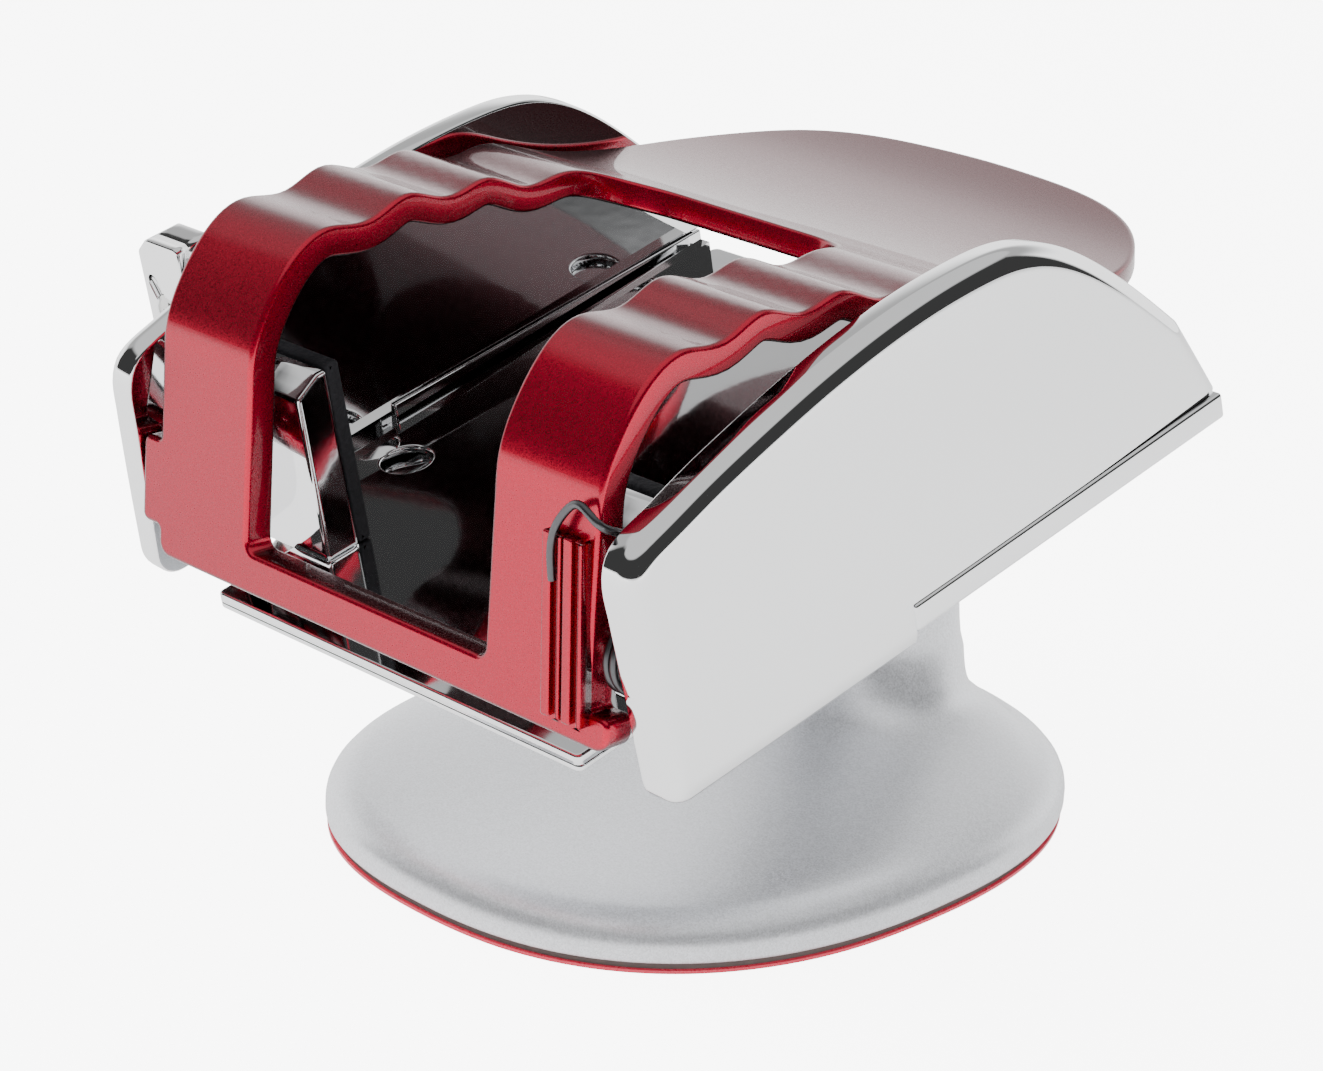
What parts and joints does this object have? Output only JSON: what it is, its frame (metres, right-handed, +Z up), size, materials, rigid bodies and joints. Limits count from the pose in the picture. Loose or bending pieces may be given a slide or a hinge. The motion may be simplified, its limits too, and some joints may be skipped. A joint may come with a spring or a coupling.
{
  "type": "dashboard phone holder",
  "caption": "Stick-on phone holder: chrome tray with side wings and foot posts, a sprung clamp with a window over it, on a tilting and turning neck and a rounded foot.",
  "frame": {"origin": "middle of the foot's underside", "axes": "+Z up, +Y towards the rear where the neck stands, +X to the right; the cradle's nose points to -Y"},
  "size_m": [0.0845, 0.0897, 0.0689],
  "materials": {
    "silver_lacquer": "satin",
    "black_plastic": "matte",
    "grey_plastic": "satin",
    "plain_steel": "satin",
    "screw_steel": "satin",
    "foam_tape": "matte",
    "red_film": "satin",
    "tray_chrome": "polished",
    "wing_chrome": "polished",
    "strip_chrome": "polished",
    "post_chrome": "polished",
    "lever_chrome": "polished",
    "liner_plastic": "satin",
    "black_foam": "matte",
    "red_lacquer": "gloss",
    "spring_wire": "satin"
  },
  "bodies": {
    "base": {"base_shell": "silver_lacquer", "bottom_plate": "black_plastic", "ballast_plate": "plain_steel", "base_screws": "screw_steel", "foam_tape": "foam_tape", "release_liner": "red_film"},
    "swivel": {"swivel_knuckle": "grey_plastic", "swivel_washer": "plain_steel", "swivel_bolt": "screw_steel"},
    "cradle": {"head_plate": "grey_plastic", "head_screws": "screw_steel", "tilt_bolt": "screw_steel", "tilt_nut": "screw_steel", "tray": "tray_chrome", "right_wing_cover": "wing_chrome", "left_wing_cover": "wing_chrome", "right_wing_liner": "liner_plastic", "left_wing_liner": "liner_plastic", "wing_screws": "screw_steel", "right_rail_strip": "strip_chrome", "left_rail_strip": "strip_chrome", "right_foot_post": "post_chrome", "left_foot_post": "post_chrome", "right_foot_pad": "black_foam", "left_foot_pad": "black_foam", "post_screws": "screw_steel", "right_hinge_pin": "screw_steel", "left_hinge_pin": "screw_steel", "lever_bracket": "lever_chrome", "lever_screw": "screw_steel"},
    "clamp": {"clamp": "red_lacquer", "clamp_spring": "spring_wire"},
    "lever": {"release_lever": "lever_chrome", "lever_spring": "spring_wire"}
  },
  "joints": [
    {"name": "head_swivel", "type": "hinge", "parent": "base", "child": "swivel", "pos_m": [0, 0.024, 0.0269], "axis": [0, 0, 1], "range_deg": [-90, 90]},
    {"name": "head_tilt", "type": "hinge", "parent": "swivel", "child": "cradle", "pos_m": [0, 0.024, 0.0332], "axis": [1, 0, 0], "range_deg": [-30, 8]},
    {"name": "clamp_hinge", "type": "hinge", "parent": "cradle", "child": "clamp", "pos_m": [0, -0.04385, 0.03893], "axis": [1, 0, 0], "range_deg": [0, 50], "stiffness_Nm_per_rad": 0.05, "springref_deg": -34.38, "deforming": ["clamp_spring"]},
    {"name": "lever_pivot", "type": "hinge", "parent": "cradle", "child": "lever", "pos_m": [-0.0426, -0.03453, 0.05041], "axis": [0, 0.9707, 0.2402], "range_deg": [0, 10], "stiffness_Nm_per_rad": 0.004, "springref_deg": -17.19, "deforming": ["lever_spring"]}
  ]
}
